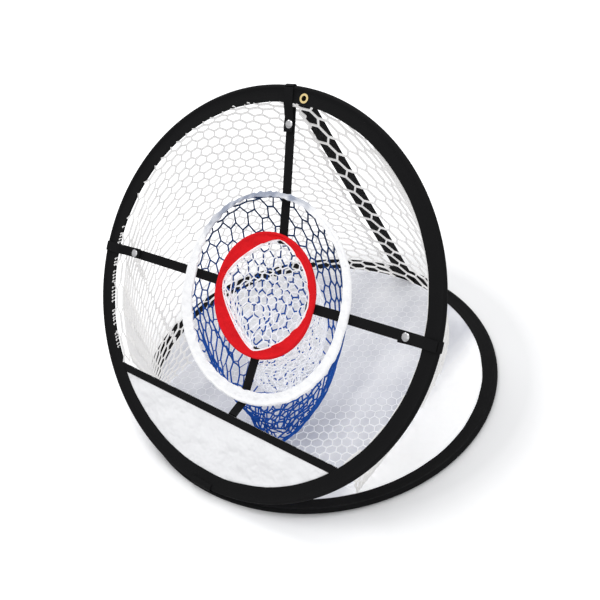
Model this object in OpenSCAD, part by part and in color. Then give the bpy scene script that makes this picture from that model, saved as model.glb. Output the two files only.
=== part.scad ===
// Pop-up golf chipping net: two spring hoops joined at the front edge, with ring targets,
// net pockets and a catch net. Millimetres, ground at z = 0, balls come from -Y.

/* [Hoops] */
// Outer diameter of both hoops, over the sleeve
hoop_d = 610; // [520:5:720]
// Angle of the front hoop from the ground
lean = 53; // [46:1:60]
// Radial width of the hoop sleeves
sleeve_w = 25; // [23:0.5:30]
// Thickness of the sewn flat of the sleeves
web_t = 4; // [3.4:0.1:4.4]
// Thickness of the cloth round the wires
cloth_t = 0.7; // [0.5:0.1:1]
// Diameter of the spring wire of the hoops
wire_d = 4.4; // [3.4:0.1:5]
// Wall of the crimped ferrules
ferrule_wall = 0.8; // [0.5:0.1:1.2]
// Length of the crimped ferrules
ferrule_l = 30; // [20:1:45]

/* [Panels] */
// Thickness of the panel cloth
panel_t = 1.2; // [0.8:0.1:1.6]
// Depth that a panel is sewn into its sleeve
seam_d = 8; // [5:0.5:10]
// Distance of the front panel's top edge below the hoop centre
panel_drop = 183; // [170:1:200]
// Height of the binding on the front panel's top edge
band_h = 12; // [10:0.5:18]
// Thickness of that binding
band_t = 3.6; // [3:0.1:4]

/* [Webbing] */
// Width of the four target straps
strap_w = 15; // [12:0.5:18]
// Thickness of all webbing
strap_t = 1.4; // [1:0.1:1.8]
// Length of the strap that is sewn behind the inner ring or the band
strap_lap = 10; // [8:0.5:12]
// Clock angle of the right strap, anticlockwise from +X
right_a = 4.5; // [2:0.5:12]
// Clock angle of the top strap
top_a = 95; // [93:0.5:100]
// Clock angle of the left strap
left_a = 182; // [172:0.5:186]
// Clock angle of the bottom strap
bottom_a = 276; // [264:0.5:282]
// Turn of the top and bottom straps to the right of the hoop's centre
strap_skew = 5; // [0:0.5:6]
// Width of the strap from the front hoop's top to the rear of the base
tether_w = 36; // [25:1:40]
// Width of the webbing loop that joins the hoops
loop_w = 38; // [25:1:50]

/* [Snaps] */
// Distance of a snap's centre from the hoop's outer edge
snap_in = 54; // [48:1:62]
// Length of a flap beyond the snap's centre
flap_tail = 11; // [9:0.5:16]
// Diameter of the snap caps
cap_d = 12; // [10:0.5:14]
// Height of the snap caps
cap_h = 1.9; // [1.4:0.1:2.4]
// Diameter of the sockets
socket_d = 10.4; // [9:0.2:12]
// Diameter of the studs' bases and of the posts' heads
stud_d = 9; // [8:0.2:10]
// Diameter of the studs' knobs
knob_d = 3.8; // [3.4:0.1:4.2]

/* [Eyelet] */
// Diameter of the eyelet's hole
eyelet_d = 8; // [6:0.5:9]
// Outer diameter of the eyelet's flanges
eyelet_flange_d = 14; // [12.5:0.5:15]
// Sideways place of the eyelet
eyelet_x = 2; // [1:0.5:4]

/* [Target] */
// Outer diameter of the outer ring, over its sleeve
outer_ring_d = 300; // [260:2:320]
// Outer diameter of the inner ring, over its sleeve
inner_ring_d = 180; // [150:2:200]
// Radial width of the outer ring's sleeve
outer_ring_w = 17; // [13:0.5:20]
// Radial width of the inner ring's sleeve
inner_ring_w = 19; // [15:0.5:24]
// Thickness of the ring sleeves' flats
ring_web_t = 3; // [2.4:0.1:3.4]
// Diameter of the rings' wire
ring_wire_d = 3.2; // [2.4:0.1:3.6]
// Height of the target rings as a multiple of their width
ring_oval = 1.06; // [1:0.01:1.08]
// Distance of the rings' centres to the right of the hoop's
ring_x = 6; // [0:0.5:8]
// Drop of the outer ring's centre below the hoop's
outer_drop = 5; // [0:0.5:8]
// Recess of the outer ring behind the front hoop
outer_recess = 16; // [12:0.5:20]
// Recess of the inner ring behind the front hoop
inner_recess = 20; // [16:0.5:24]

/* [Nets] */
// Thickness of the nets
net_t = 2; // [1.4:0.1:2.4]
// Share of a mesh that its bars take on each side
bar_share = 0.08; // [0.05:0.01:0.14]
// Depth of the straight rim of a net behind its ring
hem_d = 15; // [13:0.5:20]
// Draw-in of the catch net's rim over that depth
hem_taper = 6; // [5:0.5:8]
// Inset of the catch net's sides from the base sleeve, on the floor
net_inset = 75; // [50:1:100]
// Distance of the catch net's widest place in front of the base's centre
net_mid = 69; // [50:1:90]
// Inward sag of the catch net's rear wall
net_sag = 8; // [0:1:20]
// Outward bulge of the catch net's side walls
net_bulge = 26; // [0:1:40]
// Distance of the floor net's edge from the catch net's foot
floor_net_in = 12; // [10:1:20]
// Mesh of the floor net
floor_mesh = 44; // [36:1:60]
// Sideways place of the outer pocket's tail
outer_tail_x = 55; // [0:1:70]
// Depth of the outer pocket's belly behind its ring's centre
outer_belly_d = 65; // [50:1:80]
// Distance of the outer pocket's tail in front of its ring's centre
outer_tail_d = 45; // [30:1:55]
// Depth of the inner pocket's belly behind its ring's centre
inner_belly_d = 48; // [36:1:60]
// Distance of the inner pocket's tail in front of its ring's centre
inner_tail_d = 20; // [10:1:30]
// Height of the outer pocket's tail
outer_tail_z = 20; // [14:1:40]
// Height of the inner pocket's tail
inner_tail_z = 62; // [50:1:90]

/* [Hidden] */

$fn = 96;
// Gap between pieces that lie on each other, and a finer one inside seams and crimps
gap = 0.3;
fit = 0.1;

// Hoop section: a wire tunnel at the rim, with a sewn flat towards the centre
ferrule_r = wire_d / 2 + ferrule_wall;
tunnel_r = ferrule_r + gap;
pocket_r = tunnel_r + cloth_t;
hoop_r = hoop_d / 2;
wire_r = hoop_r - pocket_r;
inner_r = hoop_r - sleeve_w;
panel_r = inner_r + seam_d;
wire_end_gap = 1;

// Hinge loop: its bore takes the front sleeve, curved as that is over the loop's width
loop_curve = wire_r - sqrt(wire_r * wire_r - loop_w * loop_w / 4);
loop_bore_r = pocket_r + loop_curve + gap;
loop_r = loop_bore_r + strap_t;
hinge_z = 2 * pocket_r + gap + loop_r;

// Ring section, as the hoops' but smaller
ring_ferrule_wall = 0.5;
ring_ferrule_l = 12;
ring_tunnel_r = ring_wire_d / 2 + ring_ferrule_wall + gap;
ring_pocket_r = ring_tunnel_r + cloth_t;
outer_ring_r = outer_ring_d / 2;
inner_ring_r = inner_ring_d / 2;
outer_stretch = outer_ring_d * (ring_oval - 1);
inner_stretch = inner_ring_d * (ring_oval - 1);

// Strap path in a plane through the hoop axis: x is the radius and y the depth
wrap_r = pocket_r + gap + strap_t / 2;
ring_back = ring_pocket_r + gap + strap_t / 2;
strap_rim = [wire_r, -wrap_r];
strap_outer = [outer_ring_r + ring_x + gap, -outer_recess - ring_back];
strap_inner = [inner_ring_r * ring_oval + gap, -inner_recess - ring_back];
strap_end = [inner_ring_r - ring_x - strap_lap / 2, strap_inner[1]];
strap_slope = atan2(strap_rim[1] - strap_outer[1], strap_rim[0] - strap_outer[0]);
function strap_depth(r) = strap_rim[1] - (wire_r - r) * tan(strap_slope);

// Snap stack, measured square to the strap from its middle plane
snap_r = hoop_r - snap_in;
snap_depth = strap_depth(snap_r);
stud_base_t = 0.6;
post_head_t = 0.8;
shank_d = 2.4;
stud_base_z = strap_t / 2;
socket_z = stud_base_z + stud_base_t + gap;
knob_l = 1.9;
knob_z = stud_base_z + stud_base_t + knob_l;
socket_roof_t = 0.5;
flap_z = knob_z + gap + socket_roof_t + strap_t / 2;
socket_bore_d = knob_d + 1.4;
cap_z = flap_z + strap_t / 2;

// Flap path, in the same plane as the strap's, from the rolled edge that it turns about
flap_roll_d = strap_t + 2 * fit;
flap_pivot = [wire_r, pocket_r + gap + flap_roll_d / 2];
flap_edge = [inner_r - strap_t, web_t / 2 + gap + strap_t / 2];
flap_flat_l = 10;
wrap_end_a = 76;

// Eyelet, set in the flat of the sleeve
eyelet_wall = 0.6;
eyelet_flange_t = 0.8;
eyelet_r = inner_r + eyelet_flange_d / 2 + 2;

// Catch net on the floor: straight sides at the front, then half an ellipse to the rear
floor_top = web_t / 2 + panel_t / 2;
net_half_w = inner_r - net_inset;
net_mid_y = -net_mid;
net_rear_y = inner_r - net_t;
net_front_y = -sqrt(pow(inner_r - net_t - gap, 2) - pow(net_half_w, 2));
net_side_a = 55;
net_spread = 1.2;
net_full = 0.85;
net_floor_z = floor_top + gap;
floor_net_t = 1.2;
net_mouth_r = inner_r - gap;
net_start_a = -asin((panel_drop - gap - net_t) / net_mouth_r);

// Tether: sewn on the base sleeve's flat, and behind the top strap at the front hoop
tether_lap = 12;
tether_bend_y = inner_r + 4;
tether_top_r = inner_r + 1;

// Pockets: each hangs from its ring along a curve, to a drawn-in tail
outer_mouth_r = outer_ring_r - outer_ring_w - gap;
inner_mouth_r = inner_ring_r - inner_ring_w - gap;
tail_r = 6;

function lerp(a, b, t) = a + (b - a) * t;
function steps(a, b, n) = [for (i = [0 : n - 1]) lerp(a, b, i / n)];
function front_point(u, v, w) = [
    u,
    -wire_r + (wire_r + v) * cos(lean) - w * sin(lean),
    hinge_z + (wire_r + v) * sin(lean) + w * cos(lean)];

// Moves a piece drawn flat about the hoop's centre into the plane of the front hoop
module on_front() {
    translate([0, -wire_r, hinge_z]) rotate([lean, 0, 0]) translate([0, wire_r, 0]) children();
}

// Moves a piece drawn in a strap's own plane, radius along x and depth along y, to clock angle a
module on_clock(a) {
    on_front() rotate([0, 0, a]) rotate([90, 0, 0]) children();
}

// The same for a strap that turns by skew about its outer end at radius r
module on_strap(a, skew, r) {
    on_front() rotate([0, 0, a]) translate([r, 0, 0]) rotate([0, 0, skew]) translate([-r, 0, 0])
        rotate([90, 0, 0]) children();
}

function rim_skew(a) = a == top_a ? strap_skew : 0;

// Point of that strap on the front hoop's plane, at distance s from its outer end
function strap_spot(a, skew, r, s) =
    [r * cos(a) - s * cos(a + skew), r * sin(a) - s * sin(a + skew)];

// Moves a piece drawn along z to the snap of the strap at clock angle a
module on_snap(a) {
    on_strap(a, rim_skew(a), wire_r) translate([snap_r, snap_depth, 0])
        rotate([0, 0, strap_slope]) rotate([-90, 0, 0]) children();
}

// Moves a ring drawn flat to its place in the front hoop, at that drop and recess
module on_ring(drop, recess) {
    on_front() translate([ring_x, -drop, -recess]) children();
}

module ring_wire(r, d) {
    open_a = wire_end_gap / r * 180 / PI;
    rotate([0, 0, open_a / 2]) rotate_extrude(angle = 360 - open_a) translate([r, 0]) circle(d = d);
}

module ring_ferrule(r, d, wall, l) {
    a = l / r * 180 / PI;
    rotate([0, 0, -a / 2]) rotate_extrude(angle = a) translate([r, 0]) difference() {
        circle(d = d + 2 * wall);
        circle(d = d + fit);
    }
}

// Flat of a sleeve from radius r0 to r1, slit for a panel of thickness slit over depth d
module sleeve_flat(r0, r1, t, slit, d) {
    rotate_extrude() difference() {
        translate([r0, -t / 2]) square([r1 - r0, t]);
        translate([r0 - d, -slit / 2]) square([2 * d, slit]);
    }
}

// Straight run of a cross-section along one side of an oval ring: 1 is the right and -1 the left
module oval_side(side, l) {
    mirror([side < 0 ? 1 : 0, 0, 0]) rotate([90, 0, 0]) linear_extrude(l, center = true) children();
}

// Sweeps a cross-section round the two ends of an oval ring and its right side
module oval_run(stretch) {
    translate([0, stretch / 2, 0]) rotate_extrude(angle = 180) children();
    translate([0, -stretch / 2, 0]) rotate([0, 0, 180]) rotate_extrude(angle = 180) children();
    oval_side(1, stretch) children();
}

module ring_sleeve(r, w, pocket, tunnel, t, stretch) {
    union() {
        oval_run(stretch) ring_section(r, w, pocket, tunnel, t);
        oval_side(-1, stretch) ring_section(r, w, pocket, tunnel, t);
    }
}

module ring_section(r, w, pocket, tunnel, t) {
    difference() {
        union() {
            translate([r - pocket, 0]) circle(pocket);
            translate([r - w, -t / 2]) square([w - pocket, t]);
        }
        translate([r - pocket, 0]) circle(tunnel);
    }
}

// Wire of an oval ring, open at the middle of its left side
module oval_wire(r, d, stretch) {
    end_l = (stretch - wire_end_gap) / 2;
    union() {
        oval_run(stretch) translate([r, 0]) circle(d = d);
        for (up = [-1, 1]) translate([0, up * (stretch - end_l) / 2, 0])
            oval_side(-1, end_l) translate([r, 0]) circle(d = d);
    }
}

module oval_ferrule(r, d, wall, l) {
    oval_side(-1, l) translate([r, 0]) difference() {
        circle(d = d + 2 * wall);
        circle(d = d + fit);
    }
}

// Strip of webbing along a path of points, drawn in the plane of its thickness, with mitred bends
function unit(v) = v / norm(v);
function strip_side(path, side) = [for (i = [0 : len(path) - 1])
    let (
        before = unit(i > 0 ? path[i] - path[i - 1] : path[1] - path[0]),
        after = unit(i < len(path) - 1 ? path[i + 1] - path[i] : before),
        mid = unit(before + after))
    path[i] + side * strap_t / 2 / (before * mid) * [-mid[1], mid[0]]];

module strip_path(path) {
    left = strip_side(path, 1);
    right = strip_side(path, -1);
    polygon(concat(left, [for (i = [len(right) - 1 : -1 : 0]) right[i]]));
}

module strap_wrap() {
    translate([wire_r, 0]) difference() {
        circle(wrap_r + strap_t / 2);
        circle(wrap_r - strap_t / 2);
        translate([-2 * wrap_r - strap_t, -2 * wrap_r]) square([2 * wrap_r, 4 * wrap_r]);
        rotate(wrap_end_a) square(2 * wrap_r);
    }
}

module rim_strap(a) {
    color("#1b1b1d") difference() {
        union() {
            on_strap(a, rim_skew(a), wire_r) linear_extrude(strap_w, center = true)
                strip_path([strap_rim, strap_outer, strap_inner, strap_end]);
            on_clock(a) linear_extrude(strap_w, center = true) strap_wrap();
        }
        on_snap(a) cylinder(d = shank_d + fit, h = 4 * strap_t, center = true);
    }
}

function flap_path() = let (
        along = [cos(strap_slope), sin(strap_slope)],
        square_to = [-sin(strap_slope), cos(strap_slope)],
        seat = [snap_r, snap_depth] + flap_z * square_to)
    [flap_pivot, flap_edge, seat + flap_flat_l * along, seat - flap_tail * along];

module strap_flap(a) {
    color("#1b1b1d") difference() {
        union() {
            on_strap(a, rim_skew(a), wire_r) linear_extrude(strap_w, center = true)
                strip_path(flap_path());
            on_clock(a) translate(flap_pivot) cylinder(d = flap_roll_d, h = strap_w, center = true);
        }
        on_snap(a) cylinder(d = shank_d + fit, h = 2 * cap_z);
    }
}

module snap_cap(a) {
    dome_r = (cap_d * cap_d / 4 + cap_h * cap_h) / (2 * cap_h);
    color("#b9b9bb") on_snap(a) {
        rotate_extrude() intersection() {
            translate([0, cap_z + cap_h - dome_r]) circle(dome_r);
            translate([0, cap_z]) square([cap_d, cap_h]);
        }
        translate([0, 0, cap_z - strap_t]) cylinder(d = shank_d, h = strap_t);
    }
}

module snap_socket(a) {
    color("#9c9c9e") on_snap(a) difference() {
        translate([0, 0, socket_z]) cylinder(d = socket_d, h = flap_z - strap_t / 2 - socket_z);
        cylinder(d = socket_bore_d, h = flap_z - strap_t / 2 - socket_roof_t);
    }
}

// Open lattice over a sheet of column angle, row share and layer (0 outside, 1 inside)
module net_shell(sheet, cols, rows, closed, rim_share) {
    nc = closed ? len(cols) : len(cols) - 1;
    nr = len(rows) - 1;
    nv = len(cols);
    first_hole = 2 * (nr + 1) * nv;
    function col(i) = i < nv ? cols[i] : cols[i - nv] + 360;
    function vertex(d, j, i) = d * (nr + 1) * nv + j * nv + i % nv;
    function hole(d, j, i, k) = first_hole + ((j * nc + i) * 2 + d) * 4 + k % 4;
    function top_share(j) = j == 0 ? rim_share : bar_share;
    function corners(d, j, i) = [
        vertex(d, j, i), vertex(d, j, i + 1), vertex(d, j + 1, i + 1), vertex(d, j + 1, i)];
    function quad(a, b, c, d) = [[a, b, c], [a, c, d]];
    grid = [for (d = [0, 1], t = rows, a = cols) sheet(a, t, d)];
    holes = [for (j = [0 : nr - 1], i = [0 : nc - 1], d = [0, 1])
        let (
            a0 = lerp(col(i), col(i + 1), bar_share),
            a1 = lerp(col(i + 1), col(i), bar_share),
            t0 = lerp(rows[j], rows[j + 1], top_share(j)),
            t1 = lerp(rows[j + 1], rows[j], bar_share))
        each [sheet(a0, t0, d), sheet(a1, t0, d), sheet(a1, t1, d), sheet(a0, t1, d)]];
    mesh = [for (j = [0 : nr - 1], i = [0 : nc - 1], k = [0 : 3])
        let (p = corners(0, j, i), q = corners(1, j, i), m = (k + 1) % 4)
        each concat(
            quad(p[k], p[m], hole(0, j, i, m), hole(0, j, i, k)),
            quad(hole(1, j, i, k), hole(1, j, i, m), q[m], q[k]),
            quad(hole(0, j, i, k), hole(0, j, i, m), hole(1, j, i, m), hole(1, j, i, k)))];
    ends = [for (i = [0 : nc - 1]) each concat(
        quad(vertex(0, 0, i + 1), vertex(0, 0, i), vertex(1, 0, i), vertex(1, 0, i + 1)),
        quad(vertex(0, nr, i), vertex(0, nr, i + 1), vertex(1, nr, i + 1), vertex(1, nr, i)))];
    sides = closed ? [] : [for (j = [0 : nr - 1]) each concat(
        quad(vertex(0, j, 0), vertex(0, j + 1, 0), vertex(1, j + 1, 0), vertex(1, j, 0)),
        quad(vertex(0, j + 1, nc), vertex(0, j, nc), vertex(1, j, nc), vertex(1, j + 1, nc)))];
    polyhedron(concat(grid, holes), concat(mesh, ends, sides));
}

// Column angles between two straps, with one mesh centred on each strap
function mesh_between(a, b, half_a, n) = steps(a + half_a, b - half_a, n);

function net_share(a) = max((min(a, 180 - a) - net_start_a) / (90 - net_start_a), 0);
function net_turn(a) = lerp(-net_side_a, 90, pow(net_share(a), net_spread));
// Foot of the catch net on one side, moved inwards by d
function net_edge(turn, d) = turn < 0
    ? [net_half_w - d, lerp(net_mid_y, net_front_y + d, -turn / net_side_a)]
    : [(net_half_w - d) * pow(cos(turn), net_full),
        net_mid_y + (net_rear_y - d - net_mid_y) * pow(sin(turn), net_full)];
function net_foot(a) = let (edge = net_edge(net_turn(a), 0), side = a > 90 ? -1 : 1)
    [side * edge[0], edge[1], net_floor_z];
function net_lean(a) = let (s = net_share(a))
    net_sag * pow(s, 3) - net_bulge * sin(180 * pow(s, 1.5));
hem_share = 0.06;
function catch_point(a, t, d) = let (
        t0 = min(t / hem_share, 1),
        t1 = (t - hem_share) / (1 - hem_share),
        r = net_mouth_r - d * net_t - hem_taper * t0,
        rim = front_point(r * cos(a), r * sin(a), 1 - hem_d * t0),
        foot = net_foot(a),
        inward = [-foot[0], net_mid_y - foot[1], 0] / norm([foot[0], foot[1] - net_mid_y]),
        sag = 4 * t1 * (1 - t1) * net_lean(a),
        skin = foot + d * net_t * inward)
    t <= hem_share ? rim : lerp(rim, skin, t1) + sag * inward;

// Pocket behind a ring: straight rim, then rings of shrinking radius that turn level as they hang
function pocket_point(a, t, d, r, drop, depth, belly, tail) = let (
        t1 = max(t - hem_share, 0) / (1 - hem_share),
        start = front_point(ring_x, -drop, depth - hem_d),
        oval = lerp(ring_oval, 1, t1),
        centre = (1 - t1) * (1 - t1) * start + 2 * t1 * (1 - t1) * belly + t1 * t1 * tail,
        swell = pow(max(1 - pow(t1 / 0.92, 2.2), 0), 0.6),
        radius = lerp(tail_r, r, swell) - d * net_t,
        turn = lean * (1 - t1) * (1 - t1))
    t <= hem_share
        ? front_point(
            ring_x + (r - d * net_t) * cos(a),
            (r - d * net_t) * oval * sin(a) - drop,
            depth - hem_d * t / hem_share)
        : centre + radius * [cos(a), oval * sin(a) * cos(turn), oval * sin(a) * sin(turn)];

outer_centre = front_point(ring_x, -outer_drop, -outer_recess);
inner_centre = front_point(ring_x, 0, -inner_recess);

// Angle about the outer ring's centre of a point of the front hoop's plane
function outer_ring_a(spot) = atan2((spot[1] + outer_drop) / ring_oval, spot[0] - ring_x);
outer_belly = [outer_tail_x / 4, outer_centre[1] + outer_belly_d, outer_centre[2] * 0.33];
outer_tail = [outer_tail_x, outer_centre[1] - outer_tail_d, outer_tail_z];
inner_belly = [outer_tail_x / 10, inner_centre[1] + inner_belly_d, inner_centre[2] * 0.55];
inner_tail = [outer_tail_x * 0.4, inner_centre[1] - inner_tail_d, inner_tail_z];

module base_wire() {
    color("silver") translate([0, 0, pocket_r]) rotate([0, 0, 250]) ring_wire(wire_r, wire_d);
}

module base_ferrule() {
    color("gainsboro") translate([0, 0, pocket_r]) rotate([0, 0, 250])
        ring_ferrule(wire_r, wire_d, ferrule_wall, ferrule_l);
}

module base_sleeve() {
    color("#1b1b1d") rotate_extrude() difference() {
        union() {
            translate([wire_r, pocket_r]) circle(pocket_r);
            translate([inner_r, 0]) square([sleeve_w - pocket_r, web_t]);
        }
        translate([wire_r, pocket_r]) circle(tunnel_r);
        translate([panel_r - 2 * seam_d, (web_t - panel_t) / 2 - fit])
            square([2 * seam_d, panel_t + 2 * fit]);
    }
}

module floor_panel() {
    color("white") translate([0, 0, web_t / 2 - panel_t / 2]) cylinder(r = panel_r - gap, h = panel_t);
}

// True where a mesh of half size m about x, y lies inside the floor net
function in_floor(x, y, m) = let (
        w = net_half_w - floor_net_in - m,
        l = net_rear_y - floor_net_in - net_mid_y - m)
    y < net_mid_y
        ? abs(x) < w && y > net_front_y + floor_net_in + m
        : pow(x / w, 2) + pow((y - net_mid_y) / l, 2) < 1;

module floor_net() {
    right = [for (turn = concat([-net_side_a], steps(0, 90, 24), [90])) net_edge(turn, floor_net_in)];
    left = [for (i = [len(right) - 2 : -1 : 0]) [-right[i][0], right[i][1]]];
    hole = floor_mesh * (1 - 2 * bar_share);
    n = ceil(hoop_d / floor_mesh);
    color("white") translate([0, 0, net_floor_z]) linear_extrude(floor_net_t) difference() {
        polygon(concat(right, left));
        for (i = [-n : n], j = [-n : n]) {
            x = (i + j) * floor_mesh * cos(45);
            y = (i - j) * floor_mesh * sin(45);
            if (in_floor(x, y, floor_mesh * cos(45)))
                translate([x, y]) rotate(45) square(hole, center = true);
        }
    }
}

module hinge_loop() {
    strip_y = -wire_r + loop_r - strap_t;
    foot_l = sleeve_w - pocket_r - loop_r + strap_t - gap;
    color("#1b1b1d") difference() {
        union() {
            translate([0, -wire_r, hinge_z]) rotate([0, 90, 0])
                cylinder(r = loop_r, h = loop_w, center = true);
            translate([-loop_w / 2, strip_y, web_t]) cube([loop_w, strap_t, hinge_z - web_t]);
            translate([-loop_w / 2, strip_y, web_t]) cube([loop_w, foot_l, strap_t]);
        }
        translate([0, -wire_r, hinge_z]) rotate([0, 90, 0])
            cylinder(r = loop_bore_r, h = 2 * loop_w, center = true);
    }
}

module front_wire() {
    color("silver") on_front() rotate([0, 0, 215]) ring_wire(wire_r, wire_d);
}

module front_ferrule() {
    color("gainsboro") on_front() rotate([0, 0, 215])
        ring_ferrule(wire_r, wire_d, ferrule_wall, ferrule_l);
}

module front_sleeve() {
    color("#1b1b1d") on_front() difference() {
        union() {
            rotate_extrude() translate([wire_r, 0]) circle(pocket_r);
            difference() {
                sleeve_flat(inner_r, wire_r, web_t, panel_t + 2 * fit, seam_d);
                translate([0, -wire_r, 0]) rotate([0, 90, 0])
                    cylinder(r = loop_r + gap, h = loop_w + 2 * gap, center = true);
                translate([eyelet_x, eyelet_r, 0])
                    cylinder(d = eyelet_d + 2 * eyelet_wall + 2 * fit, h = 2 * web_t, center = true);
            }
        }
        rotate_extrude() translate([wire_r, 0]) circle(tunnel_r);
    }
}

module front_panel() {
    edge = panel_drop + fit + (band_t - panel_t) / 2;
    color("white") on_front() intersection() {
        cylinder(r = panel_r - gap, h = panel_t, center = true);
        translate([-hoop_d, -edge - hoop_d, -panel_t]) cube([2 * hoop_d, hoop_d, 2 * panel_t]);
    }
}

module panel_band() {
    fold = (band_t - panel_t) / 2;
    color("#1b1b1d") on_front() difference() {
        intersection() {
            cylinder(r = inner_r - gap, h = band_t, center = true);
            translate([-hoop_d, -panel_drop - band_h, -band_t]) cube([2 * hoop_d, band_h, 2 * band_t]);
        }
        translate([-hoop_d, -panel_drop - fold - hoop_d, -panel_t / 2 - fit])
            cube([2 * hoop_d, hoop_d, panel_t + 2 * fit]);
    }
}

module top_strap() { rim_strap(top_a); }
module left_strap() { rim_strap(left_a); }
module right_strap() { rim_strap(right_a); }

module bottom_strap() {
    band_seat = -band_t / 2 - gap - strap_t / 2;
    knee = [outer_ring_r * ring_oval + outer_drop + gap, strap_outer[1]];
    path = [[panel_drop + strap_lap, band_seat], [panel_drop - gap, band_seat],
        knee, strap_inner, strap_end];
    color("#1b1b1d") on_strap(bottom_a, -strap_skew, panel_drop)
        linear_extrude(strap_w, center = true) strip_path(path);
}

module outer_ring_wire() {
    color("silver") on_ring(outer_drop, outer_recess)
        oval_wire(outer_ring_r - ring_pocket_r, ring_wire_d, outer_stretch);
}

module outer_ring_ferrule() {
    color("gainsboro") on_ring(outer_drop, outer_recess)
        oval_ferrule(outer_ring_r - ring_pocket_r, ring_wire_d, ring_ferrule_wall, ring_ferrule_l);
}

module outer_ring_sleeve() {
    color("white") on_ring(outer_drop, outer_recess)
        ring_sleeve(outer_ring_r, outer_ring_w, ring_pocket_r, ring_tunnel_r, ring_web_t, outer_stretch);
}

module inner_ring_wire() {
    color("silver") on_ring(0, inner_recess)
        oval_wire(inner_ring_r - ring_pocket_r, ring_wire_d, inner_stretch);
}

module inner_ring_ferrule() {
    color("gainsboro") on_ring(0, inner_recess)
        oval_ferrule(inner_ring_r - ring_pocket_r, ring_wire_d, ring_ferrule_wall, ring_ferrule_l);
}

module inner_ring_sleeve() {
    color("#c8202e") on_ring(0, inner_recess)
        ring_sleeve(inner_ring_r, inner_ring_w, ring_pocket_r, ring_tunnel_r, ring_web_t, inner_stretch);
}

module outer_pocket() {
    half_a = (strap_w / 2 + 8) / outer_mouth_r * 180 / PI;
    rim_s = wire_r - outer_mouth_r;
    right = outer_ring_a(strap_spot(right_a, 0, wire_r, rim_s));
    top = outer_ring_a(strap_spot(top_a, strap_skew, wire_r, rim_s));
    left = outer_ring_a(strap_spot(left_a, 0, wire_r, rim_s));
    bottom = outer_ring_a(strap_spot(bottom_a, -strap_skew, panel_drop, panel_drop - outer_mouth_r));
    angles = [right, top, left < 0 ? left + 360 : left, bottom + 360, right + 360];
    cols = [for (i = [0 : 3]) each concat(
        [angles[i] - half_a],
        mesh_between(angles[i], angles[i + 1], half_a, 3))];
    rows = [0, hem_share, 0.26, 0.44, 0.62, 0.8, 1];
    sheet = function(a, t, d)
        pocket_point(a, t, d, outer_mouth_r, outer_drop, -outer_recess + ring_web_t / 2, outer_belly,
            outer_tail);
    color("#1f3f9c") net_shell(sheet, cols, rows, true, 0.25);
}

module inner_pocket() {
    cols = steps(0, 360, 12);
    rows = [0, hem_share, 0.3, 0.54, 0.78, 1];
    sheet = function(a, t, d)
        pocket_point(a, t, d, inner_mouth_r, 0, -inner_recess + ring_web_t / 2, inner_belly, inner_tail);
    color("white") net_shell(sheet, cols, rows, true, 0.25);
}

module catch_net() {
    half_a = (strap_w / 2 + 10) / net_mouth_r * 180 / PI;
    cols = concat(
        steps(net_start_a, right_a - half_a, 4), [right_a - half_a],
        mesh_between(right_a, top_a, half_a, 7), [top_a - half_a],
        mesh_between(top_a, left_a, half_a, 7), [left_a - half_a],
        steps(left_a + half_a, 180 - net_start_a, 4), [180 - net_start_a]);
    rows = [0, hem_share, 0.24, 0.42, 0.6, 0.78, 1];
    color("white") net_shell(function(a, t, d) catch_point(a, t, d), cols, rows, false, 0.3);
}

module tether() {
    lift = web_t + strap_t / 2;
    top = front_point(0, tether_top_r, strap_depth(tether_top_r) - strap_t - gap);
    color("#1b1b1d") rotate([90, 0, 90]) linear_extrude(tether_w, center = true)
        strip_path([[tether_bend_y + tether_lap, lift], [tether_bend_y, lift], [top[1], top[2]]]);
}

module eyelet() {
    barrel_d = eyelet_d + 2 * eyelet_wall;
    color("#c9b27a") on_front() translate([eyelet_x, eyelet_r, 0]) difference() {
        union() {
            translate([0, 0, -web_t / 2 - eyelet_flange_t])
                cylinder(d = barrel_d, h = web_t + eyelet_flange_t);
            translate([0, 0, web_t / 2]) cylinder(d = eyelet_flange_d, h = eyelet_flange_t);
        }
        cylinder(d = eyelet_d, h = 4 * web_t, center = true);
    }
}

module eyelet_washer() {
    color("#c9b27a") on_front() translate([eyelet_x, eyelet_r, -web_t / 2 - eyelet_flange_t]) difference() {
        cylinder(d = eyelet_flange_d, h = eyelet_flange_t);
        translate([0, 0, -eyelet_flange_t])
            cylinder(d = eyelet_d + 2 * eyelet_wall + fit, h = 3 * eyelet_flange_t);
    }
}

module snap_studs() {
    color("#9c9c9e") for (a = [top_a, left_a, right_a]) on_snap(a) difference() {
        translate([0, 0, stud_base_z]) union() {
            cylinder(d = stud_d, h = stud_base_t);
            cylinder(d = knob_d, h = knob_z - stud_base_z);
        }
        cylinder(d = shank_d + fit, h = knob_z - socket_roof_t);
    }
}

module snap_posts() {
    color("#9c9c9e") for (a = [top_a, left_a, right_a]) on_snap(a) union() {
        translate([0, 0, -strap_t / 2 - post_head_t]) cylinder(d = stud_d, h = post_head_t);
        translate([0, 0, -strap_t / 2]) cylinder(d = shank_d, h = knob_z - socket_roof_t - fit + strap_t / 2);
    }
}

module top_flap() { strap_flap(top_a); }
module left_flap() { strap_flap(left_a); }
module right_flap() { strap_flap(right_a); }
module top_snap_cap() { snap_cap(top_a); }
module left_snap_cap() { snap_cap(left_a); }
module right_snap_cap() { snap_cap(right_a); }
module top_snap_socket() { snap_socket(top_a); }
module left_snap_socket() { snap_socket(left_a); }
module right_snap_socket() { snap_socket(right_a); }

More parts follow.
